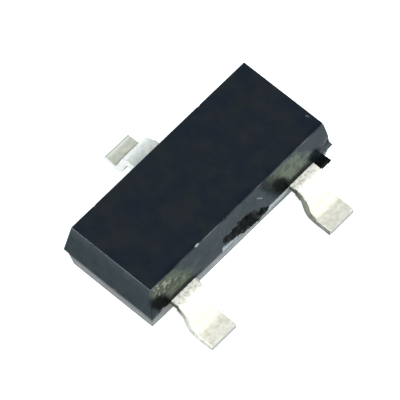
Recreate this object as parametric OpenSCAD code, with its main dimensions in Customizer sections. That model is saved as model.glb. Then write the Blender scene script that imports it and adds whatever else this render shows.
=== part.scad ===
// Three-lead surface-mount ESD protection diode: two diodes on one chip,
// moulded in epoxy, with gull-wing leads.
// The origin is the middle of the footprint on the plane that the feet stand
// on. +X runs along the case, the two-lead side faces -Y and +Z is up.

/* [Case] */
// Length of the case at the parting plane
case_len = 2.90; // [2.80:0.01:3.04]
// Width of the case at the parting plane
case_wid = 1.30; // [1.20:0.01:1.40]
// Height of the top face above the board
top_z = 0.89; // [0.84:0.01:1.10]
// Height of the parting plane above the board
parting_z = 0.41; // [0.38:0.01:0.46]
// Gap between the board and the underside
standoff = 0.07; // [0.01:0.01:0.10]
// Lean of the walls of the upper mould half, in degrees
upper_draft = 8.5; // [5:0.5:12]
// Lean of the walls of the lower mould half, in degrees
lower_draft = 8.5; // [5:0.5:12]
// Set-back of the lower half at the parting plane
parting_inset = 0.02; // [0.01:0.005:0.03]
// Radius of the upright corners
corner_r = 0.02; // [0.01:0.005:0.06]
// Radius of the edges round the top face and the underside
edge_r = 0.012; // [0.006:0.001:0.02]

/* [Leads] */
// Width of each lead
lead_wid = 0.39; // [0.32:0.01:0.48]
// Thickness of the lead strip
lead_thk = 0.09; // [0.085:0.005:0.12]
// How deep the strip's underside lies below the parting plane
lead_seat = 0.08; // [0.06:0.005:0.08]
// Distance of each front lead from the middle
lead_pitch = 0.95; // [0.93:0.01:0.97]
// Overall width across the feet
foot_span = 2.46; // [2.36:0.01:2.64]
// Straight run of a front lead between the case wall and its first bend
shoulder = 0.06; // [0.03:0.005:0.08]
// The same run of the rear lead, whose foot is cut shorter
rear_shoulder = 0.155; // [0.03:0.005:0.17]
// Slope of the part between shoulder and foot, in degrees
lead_slope = 72; // [60:1:76]
// Inside radius of the bend under the shoulder
shoulder_r = 0.10; // [0.06:0.01:0.12]
// Inside radius of the bend over the foot
heel_r = 0.05; // [0.03:0.005:0.06]
// Width of the dam bar that was cut away beside each lead
dam_wid = 0.09; // [0.06:0.01:0.12]
// How far the dam bar's cut stubs stand out of a lead's sides
stub_out = 0.012; // [0.004:0.002:0.02]

/* [Frame inside the case] */
// Length of the die paddle
paddle_len = 1.00; // [0.80:0.02:1.10]
// Width of the die paddle
paddle_wid = 0.80; // [0.64:0.02:0.90]
// Resin between the paddle and each bond post
frame_gap = 0.15; // [0.10:0.01:0.20]
// Length of a bond post
post_len = 0.60; // [0.52:0.01:0.64]
// Width of a bond post
post_wid = 0.44; // [0.30:0.02:0.60]
// Resin between the case wall and a bond post
post_cover = 0.20; // [0.12:0.01:0.28]
// Radius of the frame's outer corners
frame_r = 0.04; // [0.02:0.01:0.08]

/* [Chip] */
// Side of the square chip
die_side = 0.44; // [0.36:0.01:0.56]
// Thickness of the chip
die_thk = 0.12; // [0.08:0.01:0.16]
// Thickness of the adhesive under the chip
attach_thk = 0.02; // [0.01:0.005:0.03]
// How far the adhesive shows round the chip
attach_rim = 0.02; // [0.01:0.005:0.04]
// Diameter of a metal pad on the chip
pad_d = 0.11; // [0.10:0.01:0.13]
// Height of a metal pad
pad_rise = 0.005; // [0.004:0.001:0.01]
// Distance between the middles of the two pads
pad_pitch = 0.20; // [0.16:0.01:0.22]

/* [Bond wires] */
// Diameter of the wire
wire_d = 0.025; // [0.02:0.001:0.03]
// Diameter of the ball on the pad
ball_d = 0.07; // [0.06:0.002:0.09]
// Height of the flattened ball
ball_h = 0.03; // [0.02:0.002:0.04]
// Straight rise of the wire above the ball
wire_rise = 0.05; // [0.03:0.005:0.07]
// Radius of the wire's bend over the top
wire_bend_r = 0.04; // [0.03:0.005:0.05]
// Diameter of the stitch on the post
stitch_d = 0.09; // [0.07:0.005:0.12]
// Thickness of the stitch
stitch_thk = 0.010; // [0.006:0.001:0.014]
// Distance of the stitch from the post's inner end
stitch_inset = 0.16; // [0.10:0.01:0.24]

/* [Flash and gate mark] */
// Thickness of the film of flash at the parting plane
film_thk = 0.014; // [0.008:0.001:0.018]
// Farthest that the film stands out of the case wall
film_out = 0.016; // [0.008:0.001:0.02]
// Length of the resin block left beside the right lead
block_len = 0.155; // [0.12:0.005:0.18]
// Distance between the case wall and the dam bar, which the block filled
block_out = 0.094; // [0.06:0.002:0.10]
// Length of the curl at the block's outer corner
curl_len = 0.045; // [0.02:0.005:0.06]
// Length of the broken gate mark on the front
gate_len = 0.72; // [0.50:0.02:0.80]
// Height of the gate mark above the parting plane
gate_rise = 0.21; // [0.14:0.01:0.26]
// How far the gate mark stands out of the wall at its right end
gate_out = 0.035; // [0.02:0.005:0.05]
// Offset of the gate mark from the middle of the case
gate_shift = 0.06; // [-0.06:0.01:0.08]

/* [Hidden] */
$fn = 48;

// How deep flash and gate resin are rooted in the case, so that they are one
resin_root = 0.10;
// Steps in a rounded edge, and the turn between two walls of a corner
edge_steps = 3;
corner_turn = 22.5;

// The lead strip is let into the lower half and stands just above the parting plane
strip_low = parting_z - lead_seat;
strip_top = strip_low + lead_thk;
both_r = shoulder_r + heel_r + lead_thk;
slope_run = (strip_low - both_r * (1 - cos(lead_slope))) / sin(lead_slope);
bent_reach = both_r * sin(lead_slope) + slope_run * cos(lead_slope);
lead_reach = (foot_span - case_wid) / 2;

post_in = paddle_len / 2 + frame_gap;
post_front = -case_wid / 2 + post_cover;
post_mid = post_front + post_wid / 2;

attach_top = strip_top + attach_thk;
die_top = attach_top + die_thk;
pad_top = die_top + pad_rise;

// Plan run of a bond wire, from the middle of its ball to its stitch
wire_dx = post_in + stitch_inset - pad_pitch / 2;
wire_run = norm([wire_dx, post_mid]);
wire_heading = atan2(post_mid, wire_dx);
// Height lost from the top of the straight rise to the stitch
wire_drop = pad_top + ball_h + wire_rise - strip_top - wire_d / 2;
// Dip of the straight stretch that leads from the turn to the stitch
wire_dip = atan2(wire_drop, wire_run - wire_bend_r)
    + asin(wire_bend_r / norm([wire_run - wire_bend_r, wire_drop]));
wire_span = (wire_run - wire_bend_r * (1 + sin(wire_dip))) / cos(wire_dip);

block_in = lead_pitch + lead_wid / 2;

// Reach of a rectangle with rounded corners in one direction
function reach(turn, half_len, half_wid) =
    (half_len - corner_r) * cos(turn) + (half_wid - corner_r) * abs(sin(turn)) + corner_r;

// Set-back and height of points round an edge that ends a leaning wall
function edge_points(height, draft, foot_inset) = [
    for (k = [0:edge_steps])
        let (t = draft + (90 - draft) * k / edge_steps)
        let (rim = height - edge_r)
        [foot_inset + (rim + edge_r * sin(draft)) * tan(draft) + edge_r * (cos(draft) - cos(t)),
         rim + edge_r * sin(t)]
];

upper_wall = concat([[0, 0]], edge_points(top_z - parting_z, upper_draft, 0));
lower_wall = concat([[parting_inset, 0]],
    edge_points(parting_z - standoff, lower_draft, parting_inset));

// Upright section of the case, square to one direction of its walls
module case_section(turn) {
    levels = concat(
        [for (k = [len(lower_wall) - 1:-1:0]) [lower_wall[k][0], parting_z - lower_wall[k][1]]],
        [for (p = upper_wall) [p[0], parting_z + p[1]]]
    );
    side = [for (p = levels) [reach(turn, case_len / 2 - p[0], case_wid / 2 - p[0]), p[1]]];
    polygon(concat(side, [for (k = [len(side) - 1:-1:0]) [-side[k][0], side[k][1]]]));
}

// The case as moulded: one extruded section for each direction of its walls
module moulded_block() {
    intersection_for (turn = [-90 + corner_turn:corner_turn:90])
        rotate([0, 0, turn])
            rotate([90, 0, 0])
                linear_extrude(height = 2 * case_len, center = true)
                    case_section(turn);
}

// Film of flash at the front right corner, which keeps the mould's sharp corner
module corner_film() {
    tip = [case_len / 2, -case_wid / 2];
    root = resin_root;
    waist = 0.8 * film_out;
    translate([0, 0, parting_z - film_thk / 2])
        linear_extrude(height = film_thk)
            polygon([
                tip,
                tip + [-waist, 0.5 * root],
                tip + [-waist, root],
                tip + [-root, root],
                tip + [-root, waist],
                tip + [-0.5 * root, waist]
            ]);
}

// Ragged film of flash along the front edge, between the two front leads
module front_film() {
    wall = -case_wid / 2;
    end = lead_pitch - lead_wid / 2;
    translate([0, 0, parting_z - film_thk / 2])
        linear_extrude(height = film_thk)
            polygon([
                [-end, wall + resin_root],
                [-end, wall - 0.25 * film_out],
                [-0.62 * end, wall - 0.6 * film_out],
                [-0.55 * end, wall - 0.2 * film_out],
                [-0.40 * end, wall - 0.75 * film_out],
                [0.50 * end, wall - film_out],
                [0.58 * end, wall - 0.2 * film_out],
                [0.80 * end, wall - 0.55 * film_out],
                [end, wall - 0.2 * film_out],
                [end, wall + resin_root]
            ]);
}

// Resin that filled the mould beside the right lead as far as the dam bar,
// with the curl that stayed when the bar was cut off
module dam_block() {
    wall = -case_wid / 2;
    translate([0, 0, strip_low])
        linear_extrude(height = lead_thk)
            polygon([
                [block_in, wall + resin_root],
                [block_in, wall - block_out],
                [block_in + 0.80 * block_len, wall - block_out],
                [block_in + block_len, wall - block_out - 0.6 * curl_len],
                [block_in + 0.96 * block_len, wall - 0.55 * block_out],
                [block_in + block_len, wall + resin_root]
            ]);
}

// Broken resin of the gate: a jagged front outline crossed with a slab that
// follows the leaning wall and is turned to stand out most at its right end
module gate_mark() {
    wall = -case_wid / 2;
    h = gate_rise;
    l = gate_len / 2;
    lean = h * tan(upper_draft);
    left_out = 0.3 * gate_out;
    slab_turn = atan((gate_out - left_out) / gate_len);
    intersection() {
        translate([gate_shift, 0, parting_z])
            rotate([90, 0, 0])
                linear_extrude(height = case_wid)
                    polygon([
                        [-l, 0.62 * h],
                        [-0.94 * l, 0.90 * h],
                        [-0.65 * l, 0.89 * h],
                        [-0.27 * l, 0.98 * h],
                        [0, h],
                        [0.23 * l, 0.97 * h],
                        [0.43 * l, 0.72 * h],
                        [0.54 * l, 0.28 * h],
                        [0.73 * l, 0.32 * h],
                        [0.92 * l, 0.22 * h],
                        [l, 0.02 * h],
                        [0.86 * l, -0.06 * h],
                        [0.43 * l, -0.16 * h],
                        [-0.08 * l, -0.06 * h],
                        [-0.36 * l, 0.03 * h],
                        [-0.64 * l, 0.26 * h],
                        [-0.92 * l, 0.46 * h]
                    ]);
        translate([gate_shift - l, wall, parting_z])
            rotate([90, 0, 90 - slab_turn])
                linear_extrude(height = 3 * gate_len, center = true)
                    polygon([
                        [resin_root, -0.20 * h],
                        [-0.6 * left_out, -0.20 * h],
                        [-left_out, 0.05 * h],
                        [-0.8 * left_out + 0.45 * lean, 0.45 * h],
                        [-0.4 * left_out + 0.85 * lean, 0.85 * h],
                        [lean, h],
                        [resin_root, h]
                    ]);
    }
}

// Side profile of a bend in the strip: it starts at the origin along +X and
// turns down by the angle given, or up where the angle is negative
module bend(turn, inner_r) {
    flip = turn > 0 ? 0 : 1;
    a = abs(turn);
    far = 2 * (inner_r + lead_thk);
    mirror([0, flip])
        translate([0, -inner_r - lead_thk / 2])
            intersection() {
                difference() {
                    circle(r = inner_r + lead_thk);
                    circle(r = inner_r);
                }
                polygon([[0, 0], [0, far], far * [sin(a / 2), cos(a / 2)] / cos(a / 2),
                    far * [sin(a), cos(a)]]);
            }
}

// Side profile of a formed strip: each entry of the route is a straight run,
// the bend that follows it and the inside radius of that bend
module formed_strip(route, step = 0) {
    run = route[step][0];
    turn = route[step][1];
    inner_r = route[step][2];
    mid_r = inner_r + lead_thk / 2;
    translate([0, -lead_thk / 2])
        square([run, lead_thk]);
    if (turn != 0)
        translate([run, 0])
            bend(turn, inner_r);
    if (step + 1 < len(route))
        translate([run, 0])
            translate(mid_r * [sin(abs(turn)), -sign(turn) * (1 - cos(turn))])
                rotate(-turn)
                    formed_strip(route, step + 1);
}

// Side profile of a lead, from its root inside the case to the foot's tip;
// the ledge is the straight run outside the case
module lead_profile(root, ledge) {
    translate([case_wid / 2 - root, strip_low + lead_thk / 2])
        formed_strip([
            [root + ledge, lead_slope, shoulder_r],
            [slope_run, -lead_slope, heel_r],
            [lead_reach - ledge - bent_reach, 0, 0]
        ]);
}

// A lead's strip that leaves the case towards -Y, with the stubs of the dam
// bar on both sides; the root is its length inside the case
module gull_wing(root, ledge) {
    rotate([90, 0, -90]) {
        linear_extrude(height = lead_wid, center = true)
            lead_profile(root, ledge);
        linear_extrude(height = lead_wid + 2 * stub_out, center = true)
            intersection() {
                lead_profile(root, ledge);
                translate([case_wid / 2 + block_out, 0])
                    square([dam_wid, strip_top]);
            }
    }
}

// Flat piece of the strip inside the case, with rounded corners
module frame_plate(corner, size) {
    translate([corner[0], corner[1], strip_low])
        linear_extrude(height = lead_thk)
            union() {
                translate([frame_r, 0])
                    square([size[0] - 2 * frame_r, size[1]]);
                translate([0, frame_r])
                    square([size[0], size[1] - 2 * frame_r]);
                for (x = [frame_r, size[0] - frame_r])
                    for (y = [frame_r, size[1] - frame_r])
                        translate([x, y])
                            circle(r = frame_r);
            }
}

// Right front lead with its bond post; the left one is its mirror
module front_lead() {
    color("gainsboro")
        union() {
            translate([lead_pitch, 0, 0])
                gull_wing(post_cover + post_wid / 2, shoulder);
            frame_plate([post_in, post_front], [post_len, post_wid]);
        }
}

module lead_1() {
    mirror([1, 0, 0])
        front_lead();
}

module lead_2() {
    front_lead();
}

// Rear lead with the paddle that carries the chip
module lead_3() {
    color("gainsboro")
        union() {
            rotate([0, 0, 180])
                gull_wing(case_wid / 2, rear_shoulder);
            frame_plate([-paddle_len / 2, -paddle_wid / 2], [paddle_len, paddle_wid]);
        }
}

module die_attach() {
    color("darkgray")
        translate([0, 0, strip_top + attach_thk / 2])
            cube([die_side + 2 * attach_rim, die_side + 2 * attach_rim, attach_thk], center = true);
}

module die() {
    color("slategray")
        union() {
            translate([0, 0, attach_top + die_thk / 2])
                cube([die_side, die_side, die_thk], center = true);
            for (side = [-1, 1])
                translate([side * pad_pitch / 2, 0, die_top])
                    cylinder(h = pad_rise, d = pad_d);
        }
}

// Path of a wire, in the upright plane that it lies in: straight up from the
// ball, over the top, then straight down to the stitch
module wire_path() {
    translate([0, 0, ball_h / 2])
        cylinder(h = ball_h / 2 + wire_rise, d = wire_d);
    translate([wire_bend_r, 0, ball_h + wire_rise])
        rotate([90, 0, 0])
            rotate([0, 0, 90 - wire_dip])
                rotate_extrude(angle = 90 + wire_dip)
                    translate([wire_bend_r, 0])
                        circle(d = wire_d);
    translate([wire_bend_r * (1 + sin(wire_dip)), 0, ball_h + wire_rise + wire_bend_r * cos(wire_dip)])
        rotate([0, 90 + wire_dip, 0])
            cylinder(h = wire_span, d = wire_d);
}

// Right bond wire, with its ball on the pad and its stitch on the post
module bond_wire() {
    color("gold")
        translate([pad_pitch / 2, 0, pad_top])
            rotate([0, 0, wire_heading])
                union() {
                    intersection() {
                        translate([0, 0, ball_h / 2])
                            sphere(d = ball_d);
                        cylinder(h = ball_h, d = 2 * ball_d);
                    }
                    wire_path();
                    translate([wire_run, 0, strip_top - pad_top])
                        cylinder(h = stitch_thk, d = stitch_d);
                }
}

module bond_wire_2() {
    bond_wire();
}

module bond_wire_1() {
    mirror([1, 0, 0])
        bond_wire();
}

module body() {
    color("#23282e")
        difference() {
            union() {
                moulded_block();
                corner_film();
                front_film();
                dam_block();
                gate_mark();
            }
            lead_1();
            lead_2();
            lead_3();
            die_attach();
            die();
            bond_wire_1();
            bond_wire_2();
        }
}

body();
lead_1();
lead_2();
lead_3();
die();
die_attach();
bond_wire_1();
bond_wire_2();
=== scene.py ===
# %% [markdown]
# # A three-lead protection diode, three millimetres long
# The object is a black epoxy case on three tin-plated gull-wing leads. It is smaller
# than a grain of rice, so the photograph is a macro picture, and every little thing
# that the mould and the cutting press left behind shows in it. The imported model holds
# the true sizes. This script dresses it in meshes with rounded edges, broken resin and
# plated metal, and lights it like the photograph.

# %% Load the frame and keep its box
import math

import bmesh
import bpy
import numpy as np
from mathutils import Matrix, Vector, noise


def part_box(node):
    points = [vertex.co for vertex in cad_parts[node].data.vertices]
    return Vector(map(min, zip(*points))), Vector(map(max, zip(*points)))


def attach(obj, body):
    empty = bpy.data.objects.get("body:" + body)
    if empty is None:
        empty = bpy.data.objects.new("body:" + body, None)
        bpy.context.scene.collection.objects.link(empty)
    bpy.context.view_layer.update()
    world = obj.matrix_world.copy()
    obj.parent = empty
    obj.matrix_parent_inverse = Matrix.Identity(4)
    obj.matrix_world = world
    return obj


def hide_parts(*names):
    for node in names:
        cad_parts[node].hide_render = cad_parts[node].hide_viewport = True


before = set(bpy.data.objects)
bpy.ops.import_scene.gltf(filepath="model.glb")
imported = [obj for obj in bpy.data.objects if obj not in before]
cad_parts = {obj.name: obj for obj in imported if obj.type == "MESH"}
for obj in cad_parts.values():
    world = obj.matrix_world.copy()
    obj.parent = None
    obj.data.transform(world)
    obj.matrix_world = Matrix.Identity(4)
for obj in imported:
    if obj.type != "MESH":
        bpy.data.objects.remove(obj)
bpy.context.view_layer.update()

print("pieces in the frame:", ", ".join(sorted(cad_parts)))

# %% [markdown]
# ## Sizes
# Everything is sketched in millimetres, because the numbers are then easy to read, and
# each finished mesh is turned into metres once. The case's size, the leads' places and
# the chip's height come from the frame. What the frame's boxes can't tell, such as the
# thickness of the strip, is written here once, as the drawing of the part has it.

# %% Read the main sizes from the frame
MM = 0.001


def span(node):
    """Lowest and highest corner of a frame node, in millimetres."""
    low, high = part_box(node)
    return np.array(low) / MM, np.array(high) / MM


case_low, case_high = span("body")
lead_low, lead_high = span("lead_2")
rear_low, rear_high = span("lead_3")
die_high = span("die")[1]

HALF_LEN = case_high[0]
HALF_WID = case_high[1]
TOP = case_high[2]
UNDER = case_low[2]
FOOT_TIP = rear_high[1]
STRIP_TOP = lead_high[2]
STRIP = 0.09
STRIP_MID = STRIP_TOP - STRIP / 2
STRIP_LOW = STRIP_TOP - STRIP
PARTING = STRIP_LOW + 0.08
WALL = -HALF_WID
LEAD_WID = 0.39
PITCH = 0.95
UPPER_LEAN = math.radians(8.5)
LOWER_LEAN = math.radians(8.5)
print(f"case {2 * HALF_LEN:.2f} x {2 * HALF_WID:.2f} x {TOP - UNDER:.2f} mm, parting plane at {PARTING:.3f}")

# %% [markdown]
# ## Finishes
# Every finish is built from noise in the object's own coordinates, so it stays on the
# surface in any view. Painted pictures would need unwrapped meshes, which the exact cuts
# further down would tear. The grains are tiny: the coordinates are metres, and a grain of
# a thirtieth of a millimetre needs a noise scale of thirty thousand. The finishes come
# first, because each mesh takes its own as it is made, and the cutting and joining keeps
# them apart: broken resin stays rough beside the moulded skin.

# %% Nodes for a finish
# How far a spot on the front wall reaches into the case
SPOT_DEPTH = 0.3


class Finish:
    """A material whose nodes are added one short call at a time; x, y and z are millimetres."""

    def __init__(self, name, **values):
        self.material = bpy.data.materials.new(name)
        self.material.use_nodes = True
        self.nodes = self.material.node_tree.nodes
        self.links = self.material.node_tree.links
        self.shader = self.nodes["Principled BSDF"]
        self.place = self.nodes.new("ShaderNodeTexCoord").outputs["Object"]
        split = self.nodes.new("ShaderNodeSeparateXYZ")
        self.links.new(self.place, split.inputs[0])
        self.x, self.y, self.z = [self.maths("DIVIDE", axis, MM) for axis in split.outputs]
        for socket, value in values.items():
            self.shader.inputs[socket.replace("_", " ")].default_value = value

    def grain(self, size_mm, detail=3.0, roughness=0.55, stretch=(1.0, 1.0, 1.0)):
        """Noise with lumps of about that size, from 0 to 1."""
        mapping = self.nodes.new("ShaderNodeMapping")
        mapping.inputs["Scale"].default_value = stretch
        self.links.new(self.place, mapping.inputs["Vector"])
        node = self.nodes.new("ShaderNodeTexNoise")
        node.inputs["Scale"].default_value = 1 / (size_mm * MM)
        node.inputs["Detail"].default_value = detail
        node.inputs["Roughness"].default_value = roughness
        self.links.new(mapping.outputs["Vector"], node.inputs["Vector"])
        return node.outputs["Fac"]

    def ramp(self, value, low, high, to_low=0.0, to_high=1.0):
        """Map one range of a value to another, and hold it at the ends."""
        node = self.nodes.new("ShaderNodeMapRange")
        ends = {"From Min": low, "From Max": high, "To Min": to_low, "To Max": to_high}
        for socket, number in ends.items():
            node.inputs[socket].default_value = number
        self.links.new(value, node.inputs["Value"])
        return node.outputs["Result"]

    def maths(self, operation, a, b=0.0):
        """One sum on two values, each a number or a socket."""
        node = self.nodes.new("ShaderNodeMath")
        node.operation = operation
        for socket, value in zip(node.inputs, (a, b)):
            if isinstance(value, (int, float)):
                socket.default_value = value
            else:
                self.links.new(value, socket)
        return node.outputs[0]

    def times(self, first, *others):
        """The product of several values."""
        for other in others:
            first = self.maths("MULTIPLY", first, other)
        return first

    def without(self, share):
        """What a share leaves over."""
        return self.maths("SUBTRACT", 1.0, share)

    def band(self, value, rise, fall, peak=1.0):
        """A share that rises over one range of a value and falls over a later one."""
        return self.times(self.ramp(value, *rise, 0.0, peak), self.ramp(value, *fall, 1.0, 0.0))

    def spot(self, place, long, wide, turn):
        """How far a point lies from a slanted spot on the front wall: 1 is the spot's edge."""
        mapping = self.nodes.new("ShaderNodeMapping")
        mapping.vector_type = "TEXTURE"
        mapping.inputs["Location"].default_value = [c * MM for c in place]
        mapping.inputs["Rotation"].default_value = (0.0, math.radians(turn), 0.0)
        mapping.inputs["Scale"].default_value = (long * MM, SPOT_DEPTH * MM, wide * MM)
        self.links.new(self.place, mapping.inputs["Vector"])
        node = self.nodes.new("ShaderNodeVectorMath")
        node.operation = "LENGTH"
        self.links.new(mapping.outputs["Vector"], node.inputs[0])
        return node.outputs["Value"]

    def tones(self, value, low, high, first, second):
        """One colour up to a value, another from a higher one, and a smooth change between."""
        node = self.nodes.new("ShaderNodeValToRGB")
        stops = zip(node.color_ramp.elements, (low, high), (first, second))
        for element, place, colour in stops:
            element.position = place
            element.color = (*colour, 1)
        self.links.new(value, node.inputs["Fac"])
        return node.outputs["Color"]

    def blend(self, share, first, second):
        """Mix two colours, each a colour or a socket, by a share from 0 to 1."""
        node = self.nodes.new("ShaderNodeMix")
        node.data_type = "RGBA"
        self.links.new(share, node.inputs["Factor"])
        for socket, value in ((node.inputs[6], first), (node.inputs[7], second)):
            if isinstance(value, tuple):
                socket.default_value = (*value, 1)
            else:
                self.links.new(value, socket)
        return node.outputs[2]

    def layers(self, colour, coats):
        """Lay further colours over a first one; each coat is its share and its colour."""
        for share, coat in coats:
            colour = self.blend(share, colour, coat)
        return colour

    def bump(self, value, height_mm, after=None):
        """A bump of that height, laid over an earlier one."""
        node = self.nodes.new("ShaderNodeBump")
        node.inputs["Distance"].default_value = height_mm * MM
        self.links.new(value, node.inputs["Height"])
        if after:
            self.links.new(after, node.inputs["Normal"])
        return node.outputs["Normal"]

    def use(self, socket, value):
        """Feed a value or a colour into the shader."""
        self.links.new(value, self.shader.inputs[socket])

    def surface(self, grain, roughness, bump_mm=0.0):
        """Roughness between two values, and bumps where wanted, both after one grain."""
        self.use("Roughness", self.ramp(grain, 0.3, 0.7, *roughness))
        if bump_mm:
            self.use("Normal", self.bump(grain, bump_mm))
        return self.material


print("finishes can be mixed")

# %% [markdown]
# ## Moulded resin
# The case is black resin with the polish of its mould. Its walls are seen at a flat
# angle, where any glossy surface turns into a mirror, and they mirror the white card,
# while the top face mirrors the dim room. With one even gloss the walls come out far too
# pale. So the gloss follows the height: full on top, about a third on the walls, less
# along the lower rim. Low on the walls the colour is paler, as painted reflection of the
# card, and a painted highlight runs along the top's edge. Beside the leads the front wall
# has painted reflections of the leads with painted glints, and dark spots of painted
# shade. The refractive index is set lower than the resin's own and the gloss level higher,
# which looks the same, and leaves a fair gloss for a viewer that reads the index alone.

# %% Colours of the moulded skin
LEFT_END = (-1.40, -1.37)
WALL_BLACKS = ((0.0036, 0.0136, 0.0166), (0.0060, 0.0156, 0.0184))
TOP_BLACKS = ((0.0040, 0.0076, 0.0143), (0.0079, 0.0108, 0.0132))
VIOLET = (0.026, 0.022, 0.040)
# The next two colours are painted reflection of the white card on the lower walls; the first, for the rim,
# is darker as painted shade.
PAINTED_SHADED_REFLECTION = (0.11, 0.104, 0.097)
PAINTED_CARD_REFLECTION = (0.21, 0.200, 0.185)
# A pale bluish painted highlight along the top's edge
PAINTED_EDGE_HIGHLIGHT = (0.15, 0.18, 0.23)


def wall_colour(finish, cloud):
    """Near-black walls with a violet tinge in patches, weaker on the left end."""
    walls = finish.tones(cloud, 0.35, 0.65, *WALL_BLACKS)
    patches = finish.ramp(finish.grain(0.17, detail=2.0), 0.50, 0.64, 0.0, 0.5)
    tinge = finish.times(patches, finish.ramp(finish.x, *LEFT_END, 0.35, 1.0))
    return finish.blend(tinge, walls, VIOLET)


def painted_reflection_below(finish, walls):
    """Painted reflection of the white card: the walls turn paler towards the underside, and less so at its
    rim, as painted shade.
    """
    rim_in_shade = finish.ramp(finish.z, 0.09, 0.15, 1.0, 0.0)
    pale = finish.blend(rim_in_shade, PAINTED_CARD_REFLECTION, PAINTED_SHADED_REFLECTION)
    return finish.blend(finish.ramp(finish.z, 0.18, PARTING - 0.09, 0.9, 0.0), walls, pale)


def painted_edge_highlight(finish):
    """Painted highlight along the top's edge, at the left end and at the front."""
    on_edge = finish.band(finish.z, (TOP - 0.014, TOP - 0.010), (TOP - 0.0035, TOP - 0.0010))
    at_end = finish.times(
        finish.ramp(finish.x, -1.37, -1.36, 1.0, 0.0),
        finish.ramp(finish.grain(0.45, detail=2.0), 0.40, 0.62, 0.16, 0.60),
    )
    at_front = finish.times(
        finish.ramp(finish.y, WALL + 0.085, WALL + 0.095, 1.0, 0.0),
        finish.ramp(finish.grain(0.30, detail=2.0), 0.46, 0.62, 0.0, 0.45),
    )
    return finish.times(on_edge, finish.maths("MAXIMUM", at_end, at_front))


print("the skin's colours can be mixed")

# %% Painted reflections, glints and shade beside the front leads
# Each painted reflection of a lead: x of its middle, its share of painted glints, its green
PAINTED_LEAD_REFLECTIONS = [
    (-1.10, 0.65, (0.074, 0.089, 0.052)),
    (0.80, 0.15, (0.100, 0.119, 0.084)),
]
REFLECTION_Z = 0.69
REFLECTION_SPREAD = (0.40, 0.19, 34)
# Painted glints in the painted reflections, paler by the left corner
PAINTED_GLINT = (0.24, 0.26, 0.20)
PAINTED_CORNER_GLINT = (0.62, 0.59, 0.47)
# Each dark spot of painted shade: x, z, length, width, turn and how dull its middle is
PAINTED_SHADE_SPOTS = [
    (-1.282, 0.545, 0.25, 0.115, 62, 0.94),
    (0.640, 0.560, 0.25, 0.110, 62, 0.90),
    (0.480, 0.770, 0.20, 0.110, 62, 0.50),
    (-0.960, 0.440, 0.30, 0.075, 0, 0.80),
    (0.930, 0.440, 0.30, 0.085, 0, 0.80),
    (1.170, 0.540, 0.13, 0.080, 0, 0.75),
]
# The black of the painted shade
PAINTED_SHADE_BLACK = (0.0050, 0.0058, 0.0050)


def painted_lead_reflections(finish, walls, on_wall, ragged):
    """Green painted reflections of the leads, with pale specks as painted glints; gives back the colour and
    where they are.
    """
    specks = finish.ramp(finish.grain(0.060, detail=1.0), 0.54, 0.70)
    patchy = finish.ramp(finish.grain(0.11, detail=2.0), 0.40, 0.54, 0.50, 0.98)
    by_corner = finish.ramp(finish.x, -1.28, -1.12, 1.0, 0.0)
    near_leads = 0.0
    for x, share, green in PAINTED_LEAD_REFLECTIONS:
        away = finish.maths("ADD", finish.spot((x, WALL, REFLECTION_Z), *REFLECTION_SPREAD), ragged)
        reflecting = finish.times(on_wall, finish.ramp(away, 0.6, 1.1, 1.0, 0.0))
        glint_share = finish.times(reflecting, specks, share)
        walls = finish.layers(walls, [
            (finish.times(reflecting, patchy), green),
            (glint_share, PAINTED_GLINT),
            (finish.times(glint_share, by_corner), PAINTED_CORNER_GLINT),
        ])
        near_leads = finish.maths("MAXIMUM", near_leads, reflecting)
    return walls, near_leads


def paint_shade_spots(finish, walls, on_wall, ragged, dull):
    """Dark spots of painted shade, without gloss; gives back the colour and how dull each place is."""
    for x, z, long, wide, turn, peak in PAINTED_SHADE_SPOTS:
        away = finish.spot((x, WALL, z), long, wide, turn)
        away = finish.maths("ADD", away, finish.times(ragged, 0.4))
        share = finish.times(on_wall, finish.ramp(away, 0.65, 1.10, peak, 0.0))
        walls = finish.blend(share, walls, PAINTED_SHADE_BLACK)
        dull = finish.maths("MAXIMUM", dull, share)
    return walls, dull


print(len(PAINTED_LEAD_REFLECTIONS), "dusty patches and", len(PAINTED_SHADE_SPOTS), "dull spots")

# %% Gloss and the whole skin
TOP_GLOSS = (0.893, 0.635)
WALL_GLOSS = 0.30
LOWER_GLOSS = 0.55
RIM_GLOSS = 0.35
END_GLOSS = 0.48
TOP_ROUGH = (0.08, 0.15)
WALL_ROUGHER = 0.09
LOWER_ROUGHER = 0.12


def skin_gloss(finish, patches, on_top, dull):
    """Full gloss on top, less on the walls, on the left end and along the lower rim."""
    lower = finish.times(
        finish.ramp(finish.z, 0.20, 0.31, 1.0, LOWER_GLOSS),
        finish.ramp(finish.z, 0.13, 0.18, RIM_GLOSS, 1.0),
    )
    upper = finish.ramp(finish.z, PARTING - 0.02, PARTING)
    dull = finish.times(dull, finish.ramp(finish.z, PARTING - 0.02, PARTING + 0.02))
    edge = finish.ramp(finish.z, TOP - 0.016, TOP - 0.009)
    edge = finish.times(edge, finish.ramp(finish.y, -0.56, -0.50, 1.0, 0.0))
    rubbed = finish.ramp(finish.grain(0.30, detail=1.0), 0.42, 0.58, 0.50, 0.0)
    return finish.times(
        finish.ramp(patches, 0.30, 0.70, *TOP_GLOSS),
        finish.ramp(on_top, 0.0, 1.0, WALL_GLOSS, 1.0),
        finish.maths("MAXIMUM", lower, upper),
        finish.without(dull),
        finish.ramp(finish.x, *LEFT_END, END_GLOSS, 1.0),
        finish.without(finish.times(edge, rubbed)),
    )


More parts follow.
